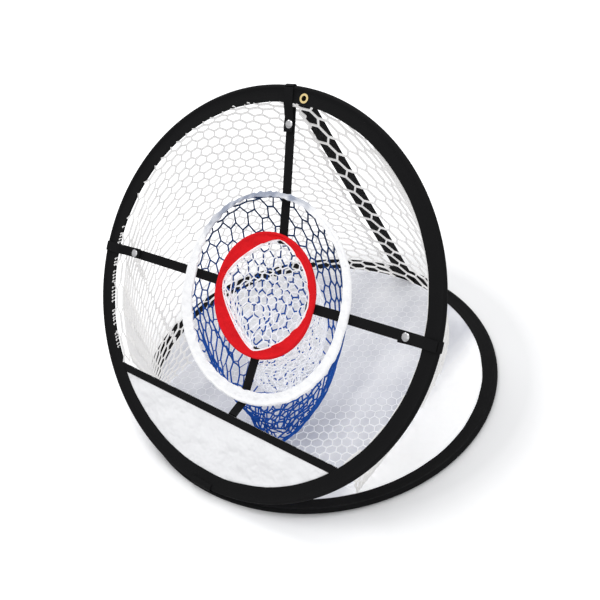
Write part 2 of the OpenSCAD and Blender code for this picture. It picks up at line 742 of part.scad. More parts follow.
base_wire();
base_ferrule();
base_sleeve();
floor_panel();
floor_net();
hinge_loop();
front_wire();
front_ferrule();
front_sleeve();
front_panel();
panel_band();
top_strap();
left_strap();
right_strap();
bottom_strap();
outer_ring_wire();
outer_ring_ferrule();
outer_ring_sleeve();
inner_ring_wire();
inner_ring_ferrule();
inner_ring_sleeve();
outer_pocket();
inner_pocket();
catch_net();
tether();
eyelet();
eyelet_washer();
snap_studs();
snap_posts();
top_flap();
left_flap();
right_flap();
top_snap_cap();
left_snap_cap();
right_snap_cap();
top_snap_socket();
left_snap_socket();
right_snap_socket();
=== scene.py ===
# %% [markdown]
# # A golf chipping net
# Two spring-steel hoops, covered in black cloth, stand like an open shell.
# One lies on the lawn and one leans back over it, and they turn on a cloth loop at the front.
# White netting closes the space between them, and two target rings hang in the front hoop on straps.
# Everything here is in metres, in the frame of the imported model.

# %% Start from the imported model
import math

import bpy
from mathutils import Matrix, Vector, noise


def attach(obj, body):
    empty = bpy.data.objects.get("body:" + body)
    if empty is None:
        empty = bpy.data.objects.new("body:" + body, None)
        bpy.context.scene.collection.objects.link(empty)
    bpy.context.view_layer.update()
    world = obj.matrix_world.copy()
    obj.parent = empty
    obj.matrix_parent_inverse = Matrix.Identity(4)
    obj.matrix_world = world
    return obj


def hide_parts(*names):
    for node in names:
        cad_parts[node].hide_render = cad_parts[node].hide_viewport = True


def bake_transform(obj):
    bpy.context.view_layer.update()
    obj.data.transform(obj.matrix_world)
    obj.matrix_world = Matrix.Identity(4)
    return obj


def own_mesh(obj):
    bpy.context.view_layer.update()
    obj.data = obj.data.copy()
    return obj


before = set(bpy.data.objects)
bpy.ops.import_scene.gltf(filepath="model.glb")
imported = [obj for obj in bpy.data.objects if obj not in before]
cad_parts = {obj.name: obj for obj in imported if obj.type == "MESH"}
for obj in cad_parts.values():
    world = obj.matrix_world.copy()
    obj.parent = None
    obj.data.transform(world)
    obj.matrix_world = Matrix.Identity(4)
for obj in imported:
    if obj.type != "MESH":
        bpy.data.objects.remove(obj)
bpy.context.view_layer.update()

# %% [markdown]
# ## The front hoop's own plane
# The front hoop leans at 53 degrees and turns about a line through its lowest point.
# Its pieces are easiest to describe flat, as right (u), up (v) and out to the player (w).
# One matrix then lays them into the leaning plane.

# %% Sizes and the leaning plane
LEAN = math.radians(53)
WIRE_R = 0.301
INNER_R = 0.280
RIM_R = 0.2797
HINGE = Vector((0, -WIRE_R, 0.0146))
GAP = 0.0003
WEB_T = 0.0014
STRAP_W = 0.015
TOP_A, LEFT_A, RIGHT_A, BOTTOM_A = 95, 182, 4.5, 276
SKEW = 5
RING_X, OUTER_DROP = 0.006, 0.005
UP = Vector((0, math.cos(LEAN), math.sin(LEAN)))
OUT = Vector((0, -math.sin(LEAN), math.cos(LEAN)))
CENTRE = HINGE + WIRE_R * UP
LEANING = Matrix.Translation(CENTRE) @ Matrix.Rotation(LEAN, 4, "X")


def front(u, v, w):
    """A point of the leaning plane."""
    return CENTRE + Vector((u, 0, 0)) + v * UP + w * OUT


def cos_sin(angle):
    """The cosine and sine of an angle in degrees."""
    a = math.radians(angle)
    return math.cos(a), math.sin(a)


def clock(angle, r, w):
    """A point of the leaning plane by its angle round the hoop, in degrees, and its radius."""
    c, s = cos_sin(angle)
    return front(r * c, r * s, w)


def mix(a, b, t):
    return a + (b - a) * t


def clamp(x):
    return min(max(x, 0), 1)


def wave(x, y, z, size):
    """Smooth noise from -1 to 1 with lumps of about that size. It is the same on every run."""
    return noise.noise(Vector((x, y, z)) / size)


print("hoop centre", [round(c, 4) for c in CENTRE])

# %% [markdown]
# ## Finishes
# The cloth is a dull nylon weave, so each cloth finish is rough, with a fine bump for the yarns.
# Steel, nickel and brass are plain polished metals.
# Every finish is built from noise in object coordinates, so nothing depends on a picture.
# Some finishes also carry painted light: a faint glow, and painted shade on the floor cloth, the white ring's top and
# the blue pocket's upper part.

# %% Nodes of a finish
def added(tree, kind, values=None, operation=None):
    """A new shader node, with the values of its inputs."""
    node = tree.nodes.new("ShaderNode" + kind)
    if operation:
        node.operation = operation
    for socket, value in (values or {}).items():
        node.inputs[socket].default_value = value
    return node


def lumps(tree, place, scale, detail):
    """Noise at a place, as one number."""
    texture = added(tree, "TexNoise", {"Scale": scale, "Detail": detail})
    tree.links.new(place, texture.inputs["Vector"])
    return texture.outputs["Fac"]


def mix_painted_shade(tree, shader, colour, other):
    """Mixes a painted shade colour into a finish, and returns the node that says where it shows."""
    tint = tree.nodes.new("ShaderNodeMix")
    tint.data_type = "RGBA"
    tint.inputs["A"].default_value = (*colour, 1)
    tint.inputs["B"].default_value = (*other, 1)
    reach = added(tree, "MapRange")
    tree.links.new(reach.outputs["Result"], tint.inputs["Factor"])
    for socket in ("Base Color", "Emission Color"):
        tree.links.new(tint.outputs["Result"], shader.inputs[socket])
    return reach


print("finishes before these:", len(bpy.data.materials))

# %% Where the painted shade shows
# The painted shade comes in patches on the white ring's top, and in slanting streaks on the floor cloth.
PATCH_SCALE = 45
STREAK_TURN, STREAK_SCALE = (0, 0, 0.6), (16, 8, 8)
STREAK_FROM, STREAK_TO = -0.2, 0.85
SHADE_END_X, SHADE_FULL_X = 0.215, 0.175


def shade_with_height(tree, place, reach, heights, towards, patchy):
    """Shows the painted shade with height, or towards another side, and in patches if it is patchy."""
    height = added(tree, "VectorMath", {1: towards}, "DOT_PRODUCT")
    tree.links.new(place, height.inputs[0])
    level = height.outputs["Value"]
    if patchy:
        raised = added(tree, "Math", {1: patchy}, "MULTIPLY_ADD")
        tree.links.new(lumps(tree, place, PATCH_SCALE, 1), raised.inputs[0])
        tree.links.new(level, raised.inputs[2])
        level = raised.outputs[0]
    tree.links.new(level, reach.inputs["Value"])
    reach.inputs["From Min"].default_value, reach.inputs["From Max"].default_value = heights


def shade_in_streaks(tree, place, reach):
    """Shows the painted shade in soft slanting stripes, which end before the floor's right edge."""
    turned = added(tree, "Mapping", {"Rotation": STREAK_TURN, "Scale": STREAK_SCALE})
    tree.links.new(place, turned.inputs["Vector"])
    tree.links.new(lumps(tree, turned.outputs["Vector"], 1.0, 2), reach.inputs["Value"])
    reach.inputs["From Min"].default_value = STREAK_FROM
    reach.inputs["From Max"].default_value = STREAK_TO
    across = added(tree, "SeparateXYZ")
    tree.links.new(place, across.inputs[0])
    inner = added(tree, "MapRange", {"From Min": SHADE_END_X, "From Max": SHADE_FULL_X})
    tree.links.new(across.outputs["X"], inner.inputs["Value"])
    tree.links.new(inner.outputs["Result"], reach.inputs["To Max"])


print("patches of about", round(1000 / PATCH_SCALE), "mm, streaks end at x =", SHADE_END_X)

# %% One finish
def finish(name, colour, rough=0.8, metal=0.0, weave=None, crumple=None, glow=0.0, bright=0.0,
           shade_high=None, heights=None, towards=(0, 0, 1), patchy=0.0, shade_streaks=None):
    """A procedural finish. weave and crumple are bumps, as (size, depth) in metres.
    glow lets light through thin threads, and bright is painted light: the finish glows a little in its own colour, for
    light that goes back and forth between threads and cloths.
    The second colour is a darker painted shade, which takes over with height or comes in soft slanting stripes."""
    mat = bpy.data.materials.new(name)
    mat.use_nodes = True
    tree = mat.node_tree
    shader = tree.nodes["Principled BSDF"]
    shader.inputs["Base Color"].default_value = (*colour, 1)
    shader.inputs["Roughness"].default_value = rough
    shader.inputs["Metallic"].default_value = metal
    shader.inputs["Specular IOR Level"].default_value = 0.5 if metal else 0.12
    # Painted light: the finish glows a little in its own colour.
    if bright:
        shader.inputs["Emission Color"].default_value = (*colour, 1)
        shader.inputs["Emission Strength"].default_value = bright
    place = added(tree, "TexCoord").outputs["Object"]
    # Painted shade: a darker colour takes over with height, or comes in streaks.
    if shade_high:
        shade_with_height(tree, place, mix_painted_shade(tree, shader, colour, shade_high), heights, towards, patchy)
    elif shade_streaks:
        shade_in_streaks(tree, place, mix_painted_shade(tree, shader, colour, shade_streaks))
    normal = None
    for size, depth in filter(None, (crumple, weave)):
        bump = added(tree, "Bump", {"Strength": 1.0, "Distance": depth})
        tree.links.new(lumps(tree, place, 1 / size, 3), bump.inputs["Height"])
        if normal:
            tree.links.new(normal, bump.inputs["Normal"])
        normal = bump.outputs["Normal"]
    if normal:
        tree.links.new(normal, shader.inputs["Normal"])
    if glow:
        through = added(tree, "BsdfTranslucent", {"Color": (*colour, 1)})
        both = added(tree, "MixShader", {"Fac": glow})
        tree.links.new(shader.outputs["BSDF"], both.inputs[1])
        tree.links.new(through.outputs["BSDF"], both.inputs[2])
        tree.links.new(both.outputs["Shader"], tree.nodes["Material Output"].inputs["Surface"])
    return mat


BLACK, YARN = (0.005, 0.005, 0.0055), 0.0012
black_cloth = finish("black cloth", BLACK, 0.8, weave=(YARN, 0.0003), crumple=(0.02, 0.0012))
print(black_cloth.name, "has", len(black_cloth.node_tree.nodes), "nodes")

# %% Make the other finishes
black_webbing = finish("black webbing", BLACK, 0.8, weave=(0.0016, 0.0004))
# White cloth, floor cloth, ring cloth and the three nets glow a little by themselves (bright): painted light.
white_cloth = finish("white cloth", (0.91, 0.91, 0.92), 0.85, weave=(YARN, 0.00008),
                     crumple=(0.045, 0.016), bright=0.05)
# Painted shade: the floor cloth greys in streaks under the catch net, fading out near the net's right foot.
floor_cloth = finish("floor cloth", (0.97, 0.97, 0.97), 0.85, weave=(YARN, 0.00008),
                     crumple=(0.03, 0.004), bright=0.23, shade_streaks=(0.44, 0.45, 0.50))
# Painted shade: the ring cloth turns grey-blue on the white ring's top and upper left, in patches.
ring_cloth = finish("ring cloth", (0.94, 0.94, 0.95), 0.8, crumple=(0.012, 0.004), bright=0.12,
                    shade_high=(0.31, 0.34, 0.42), heights=(0.385, 0.430), towards=(-0.4, 0, 1), patchy=0.10)
red_cloth = finish("red cloth", (0.78, 0.010, 0.016), 0.8, weave=(YARN, 0.0001), crumple=(0.016, 0.006))
white_net = finish("white net", (0.66, 0.655, 0.65), 0.9, glow=0.3, bright=0.6)
pocket_net = finish("pocket net", (0.90, 0.905, 0.92), 0.8, glow=0.3, bright=0.28)
# Painted shade: the blue net turns darker higher up, on the pocket's upper part.
blue_net = finish("blue net", (0.012, 0.082, 0.38), 0.7, bright=0.15,
                  shade_high=(0.016, 0.036, 0.09), heights=(0.13, 0.30))
steel = finish("spring steel", (0.55, 0.55, 0.56), 0.35, 1.0)
nickel = finish("nickel", (0.45, 0.45, 0.46), 0.22, 1.0)
brass = finish("brass", (0.78, 0.62, 0.30), 0.25, 1.0)
print("finishes:", len(bpy.data.materials))

# %% [markdown]
# ## Ways of working
# Blender's operators work on the selected object, so each step selects its piece first.
# A few helpers do that, lay a piece in its place, apply a modifier, and give a piece its finish and its body.
# The ways of making sleeves, straps and nets come later, where each is first needed.

# %% Select, place and finish a piece
def pick(piece=None):
    """Deselects everything, then selects one piece for the next operator."""
    bpy.ops.object.select_all(action="DESELECT")
    if piece:
        piece.select_set(True)
        bpy.context.view_layer.objects.active = piece


def settle(piece, place=None):
    """Lays a piece in its place and leaves its object at the origin."""
    pick(piece)
    if place is not None:
        piece.matrix_world = place
    bpy.ops.object.transform_apply(location=True, rotation=True, scale=True)
    return piece


def apply(piece, kind, **settings):
    """Adds a modifier and applies it."""
    pick(piece)
    modifier = piece.modifiers.new(kind, kind)
    for key, value in settings.items():
        setattr(modifier, key, value)
    bpy.ops.object.modifier_apply(modifier=modifier.name)


def done(piece, body, look, slot, *nodes, smooth=40):
    """Gives a piece its finish and its body, and hides the CAD nodes that it stands for."""
    pick(piece)
    bpy.ops.object.shade_smooth_by_angle(angle=math.radians(smooth))
    piece.data.materials.clear()
    piece.data.materials.append(look)
    if body:
        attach(piece, body)
    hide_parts(*nodes)
    print(piece.name, "faces", len(piece.data.polygons), "for", ", ".join(nodes))
    return piece


# %% [markdown]
# ## Metal pieces
# The wires, their crimped ferrules, the snaps and the eyelet are metal, and the CAD solids already have their shapes.
# They keep those shapes and only take a finish.
# The solids of the soft pieces take one too, but the pieces that are made below replace them.

# %% Finish the metal pieces
for node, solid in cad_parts.items():
    metal = nickel if "snap" in node else brass if "eyelet" in node else steel
    solid.data.materials.clear()
    solid.data.materials.append(metal)
print("CAD nodes with a finish:", len(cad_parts))

# %% [markdown]
# ## The hoops' sleeves
# A strip of black nylon is folded round each wire and sewn, which leaves a round tunnel and a flat edge inside it.
# The cloth is gathered a little as it goes round, so the flat edge isn't quite even.
# Its cross-section is a closed outline, which is spun a full turn.
# Each vertex is then moved a little for the gathers.

# %% Spin a sleeve
POCKET_R, FLAT_HALF = 0.004, 0.002
NECK_A, ARC_STEPS, SLEEVE_STEPS = 12, 16, 200


def close_up(merge):
    """Ends edit mode with all faces outwards, and doubled vertices merged where asked."""
    bpy.ops.mesh.select_all(action="SELECT")
    if merge:
        bpy.ops.mesh.remove_doubles(threshold=1e-5)
    bpy.ops.mesh.normals_make_consistent(inside=False)
    bpy.ops.object.mode_set(mode="OBJECT")


def spun(name, outline, steps):
    """A closed outline of (radius, height), spun a full turn about Z."""
    pick()
    bpy.ops.mesh.primitive_circle_add(vertices=len(outline), radius=0.01)
    piece = bpy.context.object
    piece.name = name
    for vertex, (r, z) in zip(piece.data.vertices, outline):
        vertex.co = (r, 0, z)
    bpy.ops.object.mode_set(mode="EDIT")
    bpy.ops.mesh.select_all(action="SELECT")
    bpy.ops.mesh.spin(steps=steps, angle=math.tau, center=(0, 0, 0), axis=(0, 0, 1))
    close_up(True)
    return piece


def sleeve_outline(r, pocket, inner, half):
    """Cross-section of a folded sleeve: a flat from inner out to a round tunnel at radius r."""
    neck = math.degrees(math.asin(half / pocket)) + NECK_A
    angles = [180 - neck - (360 - 2 * neck) * i / ARC_STEPS for i in range(ARC_STEPS + 1)]
    arc = [(r + pocket * c, pocket * s) for c, s in map(cos_sin, angles)]
    flat = [0.0, 0.25, 0.5, 0.75]
    upper = [(mix(inner, r - pocket, f), half) for f in flat]
    lower = [(mix(inner, r - pocket, f), -half) for f in reversed(flat)]
    return [(inner - 0.0004, 0)] + upper + arc + lower


sleeve = sleeve_outline(WIRE_R, POCKET_R, INNER_R, FLAT_HALF)
print("sleeve outline:", len(sleeve), "points")

# %% Sew the ground hoop's sleeve
GATHER_STEP, GATHER_OUT, GATHER_RUN = 0.035, 0.0008, 0.012
SINK, SINK_R, SINK_RUN = 0.002, 0.299, 0.004


def gather(piece, depth):
    """Moves a spun sleeve's vertices for its gathers, which lift its flat to that depth."""
    for vertex in piece.data.vertices:
        x, y = vertex.co.xy
        share = clamp((WIRE_R - POCKET_R - math.hypot(x, y)) / GATHER_RUN)
        angle = math.atan2(y, x)
        ring = Vector((math.cos(angle), math.sin(angle), 0)) * WIRE_R
        lump = wave(ring.x, ring.y, 3, GATHER_STEP)
        fine = wave(ring.x, ring.y, 7, GATHER_STEP * 0.4)
        out = share * GATHER_OUT * (lump + 0.3 * fine)
        vertex.co.x += math.cos(angle) * out
        vertex.co.y += math.sin(angle) * out
        vertex.co.z += share * depth * wave(ring.x, ring.y, 11, GATHER_STEP)


base_sleeve = spun("base_sleeve_cloth", sleeve, SLEEVE_STEPS)
gather(base_sleeve, 0.0002)
settle(base_sleeve, Matrix.Translation((0, 0, POCKET_R)))
for vertex in base_sleeve.data.vertices:
    radius = math.hypot(vertex.co.x, vertex.co.y)
    vertex.co.z -= SINK * clamp((SINK_R - radius) / SINK_RUN)
done(base_sleeve, "base", black_cloth, "black_cloth", "base_sleeve")

# %% Sew the front hoop's sleeve
LOOP_GAP_IN, LOOP_GAP_OUT, LOOP_GAP_HALF = 0.0042, 0.0066, 0.0193
EYELET_SPOT, EYELET_HOLE_R = (0.002, 0.289, 0), 0.0047


def hole(piece, cutter):
    """Cuts a shape out of a piece."""
    apply(piece, "BOOLEAN", operation="DIFFERENCE", solver="EXACT", object=cutter)
    bpy.data.objects.remove(cutter)


front_sleeve = spun("front_sleeve_cloth", sleeve, SLEEVE_STEPS)
gather(front_sleeve, 0.0004)
loop_gap = spun("loop_gap", [(LOOP_GAP_IN, -LOOP_GAP_HALF), (LOOP_GAP_OUT, -LOOP_GAP_HALF),
                             (LOOP_GAP_OUT, LOOP_GAP_HALF), (LOOP_GAP_IN, LOOP_GAP_HALF)], 48)
settle(loop_gap, Matrix.Translation((0, -WIRE_R, 0)) @ Matrix.Rotation(math.pi / 2, 4, "Y"))
hole(front_sleeve, loop_gap)
bpy.ops.mesh.primitive_cylinder_add(vertices=32, radius=EYELET_HOLE_R, depth=0.02, location=EYELET_SPOT)
hole(front_sleeve, bpy.context.object)
settle(front_sleeve, LEANING)
done(front_sleeve, "front_frame", black_cloth, "black_cloth", "front_sleeve")

# %% [markdown]
# ## The white panels
# White nylon closes the bottom of the front hoop, and another piece is the tray's floor.
# Both are cut flat and sewn into the sleeves' edges, so they are tight at the seam and loose in the middle.
# The front one starts as a grid that is bent to its outline, and the floor as a disc that is extruded ring by ring.
# Low creases run in from the seam.

# %% Cut the front panel
PANEL_R, PANEL_DROP, PANEL_T = 0.288, 0.183, 0.0012
SEAM, SEAM_RUN = 0.008, 0.025
CREASE, CREASE_STEP = 0.0026, 0.022
BILLOW, BILLOW_STEP = 0.0030, 0.07

half_angle = math.acos(PANEL_DROP / PANEL_R)
pick()
bpy.ops.mesh.primitive_grid_add(x_subdivisions=110, y_subdivisions=26, size=2)
front_panel = bpy.context.object
front_panel.name = "front_panel_cloth"
for vertex in front_panel.data.vertices:
    turn = vertex.co.x * half_angle
    share = (vertex.co.y + 1) / 2
    top = Vector((PANEL_DROP * math.tan(turn), -PANEL_DROP, 0))
    rim = Vector((PANEL_R * math.sin(turn), -PANEL_R * math.cos(turn), 0))
    spot = mix(top, rim, share)
    loose = clamp((min(share, 1 - share) * (rim - top).length - SEAM) / SEAM_RUN)
    crease = wave(spot.x, spot.y * 0.35, 0, CREASE_STEP)
    spot.z = loose * (CREASE * crease + BILLOW * wave(spot.x, spot.y, 5, BILLOW_STEP))
    vertex.co = spot
bpy.ops.object.mode_set(mode="EDIT")
close_up(True)
apply(front_panel, "SOLIDIFY", thickness=PANEL_T, offset=0)
settle(front_panel, LEANING)
done(front_panel, "front_frame", white_cloth, "white_cloth", "front_panel")

# %% Cut the floor panel
HUB_R, GROWTH, FLOOR_RINGS = 0.02, 0.268, 30
FLOOR_SEAM_R, FLOOR_SEAM_RUN = 0.276, 0.03
FLOOR_Z, RIPPLE = 0.002, 0.0003

bpy.ops.mesh.primitive_circle_add(vertices=128, radius=HUB_R, fill_type="TRIFAN")
floor_panel = bpy.context.object
floor_panel.name = "floor_panel_cloth"
bpy.ops.object.mode_set(mode="EDIT")
bpy.ops.mesh.select_mode(type="EDGE")
bpy.ops.mesh.select_all(action="DESELECT")
bpy.ops.mesh.select_non_manifold()
for ring in range(1, FLOOR_RINGS + 1):
    bpy.ops.mesh.extrude_region_move(TRANSFORM_OT_translate={"value": (0, 0, 0)})
    grow = (HUB_R + GROWTH * ring / FLOOR_RINGS) / (HUB_R + GROWTH * (ring - 1) / FLOOR_RINGS)
    bpy.ops.transform.resize(value=(grow, grow, 1), center_override=(0, 0, 0))
close_up(False)
for vertex in floor_panel.data.vertices:
    x, y = vertex.co.xy
    loose = clamp((FLOOR_SEAM_R - math.hypot(x, y)) / FLOOR_SEAM_RUN)
    vertex.co.z = FLOOR_Z + loose * (RIPPLE * wave(x, y, 1, 0.03) - RIPPLE)
apply(floor_panel, "SOLIDIFY", thickness=PANEL_T, offset=0)
settle(floor_panel)
done(floor_panel, "base", floor_cloth, "white_cloth", "floor_panel")

# %% [markdown]
# ## The band and the straps
# A black band binds the panel's upper edge, so that it stays straight across the hoop.
# Four webbing straps hang the rings: three start round the hoop's outer edge and one starts at the band.
# Each is one strip along the path of the real webbing: an edge is extruded along it, then given its thickness.

# %% Bind the panel
BAND_HALF_H, BAND_T = 0.006, 0.0036


def soften(piece, width, segments):
    """Rounds the sharp edges of a piece."""
    apply(piece, "BEVEL", width=width, segments=segments, limit_method="ANGLE", angle_limit=math.radians(50))


bpy.ops.mesh.primitive_grid_add(x_subdivisions=60, y_subdivisions=4, size=2)
band = bpy.context.object
band.name = "panel_band_webbing"
for vertex in band.data.vertices:
    height = -PANEL_DROP - BAND_HALF_H + vertex.co.y * BAND_HALF_H
    u = vertex.co.x * math.sqrt(RIM_R ** 2 - height ** 2)
    vertex.co = (u, height, 0.0003 * wave(u, 0, 2, 0.05))
apply(band, "SOLIDIFY", thickness=BAND_T, offset=0)
soften(band, 0.0008, 2)
settle(band, LEANING)
done(band, "front_frame", black_webbing, "black_webbing", "panel_band")

# %% Lay webbing along a path
WRAP_R = 0.005


def strap(name, path, across, width):
    """A strip of webbing: one edge extruded along a path of points, then thickened."""
    pick()
    bpy.ops.mesh.primitive_plane_add(size=0.1)
    piece = bpy.context.object
    piece.name = name
    half = across.normalized() * width / 2
    ends = (path[0] - half, path[0] + half, path[1] - half, path[1] + half)
    for vertex, spot in zip(piece.data.vertices, ends):
        vertex.co = spot - piece.location
    for vertex in piece.data.vertices:
        vertex.select = vertex.index > 1
    for edge in piece.data.edges:
        edge.select = set(edge.vertices) == {2, 3}
    for face in piece.data.polygons:
        face.select = False
    bpy.ops.object.mode_set(mode="EDIT")
    bpy.ops.mesh.select_mode(type="EDGE")
    for here, there in zip(path[1:], path[2:]):
        bpy.ops.mesh.extrude_region_move(TRANSFORM_OT_translate={"value": there - here})
    close_up(False)
    apply(piece, "SOLIDIFY", thickness=WEB_T, offset=0, use_even_offset=True)
    soften(piece, WEB_T * 0.25, 1)
    return piece


wrap = [(WIRE_R + WRAP_R * c, WRAP_R * s) for c, s in map(cos_sin, range(76, -90, -12))]
print("a turn round the hoop:", len(wrap), "points")

# %% Hang the straps
STRAP_OUTER, STRAP_INNER, STRAP_END = (0.1563, -0.0201), (0.0957, -0.0241), (0.079, -0.0241)
BOTTOM_KNEE, BOTTOM_LAP = (0.1643, -0.0201), 0.010
RIM_STRAPS = (("top", TOP_A, SKEW), ("left", LEFT_A, 0), ("right", RIGHT_A, 0))


def along_strap(angle, skew, outer_r, points, steps=6):
    """A strap's path from its outer end: the (radius, depth) points, with small steps between them."""
    fine = []
    for (r0, w0), (r1, w1) in zip(points, points[1:]):
        fine += [(mix(r0, r1, i / steps), mix(w0, w1, i / steps)) for i in range(steps)]
    (start_c, start_s), (turned_c, turned_s) = cos_sin(angle), cos_sin(angle + skew)
    path = []
    for r, w in fine + [points[-1]]:
        inward = outer_r - r
        path.append(front(outer_r * start_c - inward * turned_c, outer_r * start_s - inward * turned_s, w))
    return path


def side_of(angle):
    """The direction across a strap at that angle."""
    c, s = cos_sin(angle)
    return Vector((-s, 0, 0)) + c * UP


for name, angle, skew in RIM_STRAPS:
    path = [clock(angle, r, w) for r, w in wrap]
    path += along_strap(angle, skew, WIRE_R, [(WIRE_R, -WRAP_R), STRAP_OUTER, STRAP_INNER, STRAP_END])
    piece = strap(name + "_strap_webbing", path, side_of(angle + skew / 2), STRAP_W)
    done(piece, "front_frame", black_webbing, "black_webbing", name + "_strap")
seat = -BAND_T / 2 - GAP - WEB_T / 2
path = along_strap(BOTTOM_A, -SKEW, PANEL_DROP, [(PANEL_DROP + BOTTOM_LAP, seat), (PANEL_DROP - GAP, seat),
                                                 BOTTOM_KNEE, STRAP_INNER, STRAP_END])
bottom_strap = strap("bottom_strap_webbing", path, side_of(BOTTOM_A - SKEW), STRAP_W)
done(bottom_strap, "front_frame", black_webbing, "black_webbing", "bottom_strap")

# %% [markdown]
# ## The flaps
# Three short flaps come over the front of the hoop and snap onto the straps, so that the rings can be taken off.
# Each turns on its rolled edge at the hoop, and carries the snap's cap and socket.
# Sewn by hand, they don't lie quite square on their straps, so each is a little askew.

# %% Fold the flaps over
FLAP_POINTS = [(WIRE_R, 0.0051), (0.2786, 0.0030), (0.2605, -0.0045), (0.2396, -0.0067)]
FLAP_STEPS = 4
ASKEW = (-2.0, 2.5, 3.0)

for (name, angle, skew), askew in zip(RIM_STRAPS, ASKEW):
    path = along_strap(angle, skew, WIRE_R, FLAP_POINTS, FLAP_STEPS)
    piece = strap(name + "_flap_webbing", path, side_of(angle + skew), STRAP_W)
    hub = path[FLAP_STEPS]
    inward = (path[-1] - hub).normalized()
    for vertex in piece.data.vertices:
        away = max((vertex.co - hub).dot(inward), 0)
        vertex.co -= side_of(angle + skew) * away * math.tan(math.radians(askew))
    done(piece, name + "_flap", black_webbing, "black_webbing", name + "_flap")

# %% [markdown]
# ## The hinge loop and the tether
# A wide webbing loop is sewn on the ground hoop and goes round the front hoop's sleeve, which makes the hinge.
# At the back a webbing tether runs from the ground hoop up to the top of the front hoop, and stops it at its lean.
# When the net is folded the tether goes slack.

# %% Make the loop and the tether
LAP_Z = 0.0047
LOOP_R, LOOP_W, LOOP_STRIP_Y = 0.0056, 0.038, -0.2954
TETHER_W, TETHER_X, TETHER_STEPS = 0.036, 0.011, 40
TETHER_TOP_X, TETHER_TOP_R = 0.001, 0.281
STRAP_SLOPE = math.tan(math.radians(5.957))
ACROSS = Vector((1, 0, 0))

loop_path = [Vector((0, y, LAP_Z)) for y in (-0.2803, -0.285, -0.290, -0.2945)]
loop_path += [Vector((0, LOOP_STRIP_Y, z)) for z in (0.006, 0.010)]
loop_path += [HINGE + LOOP_R * Vector((0, *cos_sin(a))) for a in range(0, 349, 12)]
hinge_loop = strap("hinge_loop_webbing", loop_path, ACROSS, LOOP_W)
done(hinge_loop, "base", black_webbing, "black_webbing", "hinge_loop")

tether_top_w = -WRAP_R - (WIRE_R - TETHER_TOP_R) * STRAP_SLOPE - WEB_T - GAP
tether_top = front(TETHER_TOP_X, TETHER_TOP_R, tether_top_w)
tether_path = [Vector((TETHER_X, y, LAP_Z)) for y in (0.296, 0.290, 0.284)]
tether_path += [mix(tether_path[-1], tether_top, i / TETHER_STEPS) for i in range(1, TETHER_STEPS + 1)]
tether_path += [tether_top + UP * lap for lap in (0.004, 0.008, 0.012, 0.016)]
tether = strap("tether_webbing", tether_path, ACROSS, TETHER_W)
done(tether, None, black_webbing, "black_webbing", "tether")
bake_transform(tether)

# %% [markdown]
# ## The target rings
# The outer ring is a light wire in a white cloth tube, gathered all the way round so that it looks puffy.
# The inner ring is red, flat and tight, and the four straps pull its inner edge to a rounded diamond.
# Both are spun from their cross-section and then shaped by where the straps hold them.

# %% The form of a ring
RING_POCKET_R = 0.0031
OUTER_TUBE_R, OUTER_EDGE_R, OUTER_FLAT, OUTER_W = 0.1469, 0.133, 0.0139, 0.017
INNER_TUBE_R, INNER_EDGE_R, INNER_FLAT, INNER_W = 0.0869, 0.071, 0.0159, 0.019
OUTER_STRETCH, INNER_STRETCH = 0.018, 0.0108
OUTER_HALF, INNER_HALF = 0.0018, 0.0015
OUTER_DEPTH, INNER_DEPTH = -0.016, -0.020
OUTER_WIDTH = [(0, 0.0145), (45, 0.0105), (90, 0.0080), (125, 0.0085), (150, 0.013),
               (190, 0.020), (235, 0.019), (275, 0.020), (320, 0.0165)]
INNER_WIDTH = [(3, 0.0100), (46, 0.0130), (87, 0.0075), (136, 0.0235),
               (181, 0.012), (226, 0.0265), (275, 0.0115), (318, 0.0195)]


def round_table(angle, table, pointed=False):
    """A smooth value at an angle, from a table of (angle, value) that goes once round.
    When it is pointed, the value leaves its low places in a sharp corner."""
    for (a0, v0), (a1, v1) in zip(table, table[1:] + [(table[0][0] + 360, table[0][1])]):
        for turn in (angle, angle + 360):
            if a0 <= turn <= a1:
                t = (turn - a0) / (a1 - a0)
                if not pointed:
                    return mix(v0, v1, t * t * (3 - 2 * t))
                if v1 > v0:
                    return mix(v0, v1, math.sin(t * math.pi / 2))
                return mix(v1, v0, math.cos(t * math.pi / 2))
    return table[0][1]


def round_ring(piece, tube_r, flat):
    """Each vertex of a spun ring, with its angle, its radius, its direction and its share of the way in."""
    for vertex in piece.data.vertices:
        x, y = vertex.co.xy
        radius = math.hypot(x, y)
        angle = math.degrees(math.atan2(y, x)) % 360
        yield vertex, angle, radius, Vector((x / radius, y / radius, 0)), clamp((tube_r - radius) / flat)


def oval(piece, stretch, drop, w):
    """Pulls a spun ring to an oval and moves it to its place in the front hoop."""
    for vertex in piece.data.vertices:
        vertex.co.y += (stretch / 2 if vertex.co.y > -1e-6 else -stretch / 2) - drop
        vertex.co.x += RING_X
        vertex.co.z += w


for name, table in (("white", OUTER_WIDTH), ("red", INNER_WIDTH)):
    print(name, "ring, widths at its quarters:", [round(round_table(a, table), 4) for a in (0, 90, 180, 270)])

# %% Sew the white ring
WHITE_FOLDS, WHITE_PUFFS, UNDER_FOLDS = 17, 7, 30
UNDER_A, UNDER_RUN = 112, 42
PUFF_OUT, PUFF_UP, UNDER_UP = 0.0016, 0.0022, 0.008

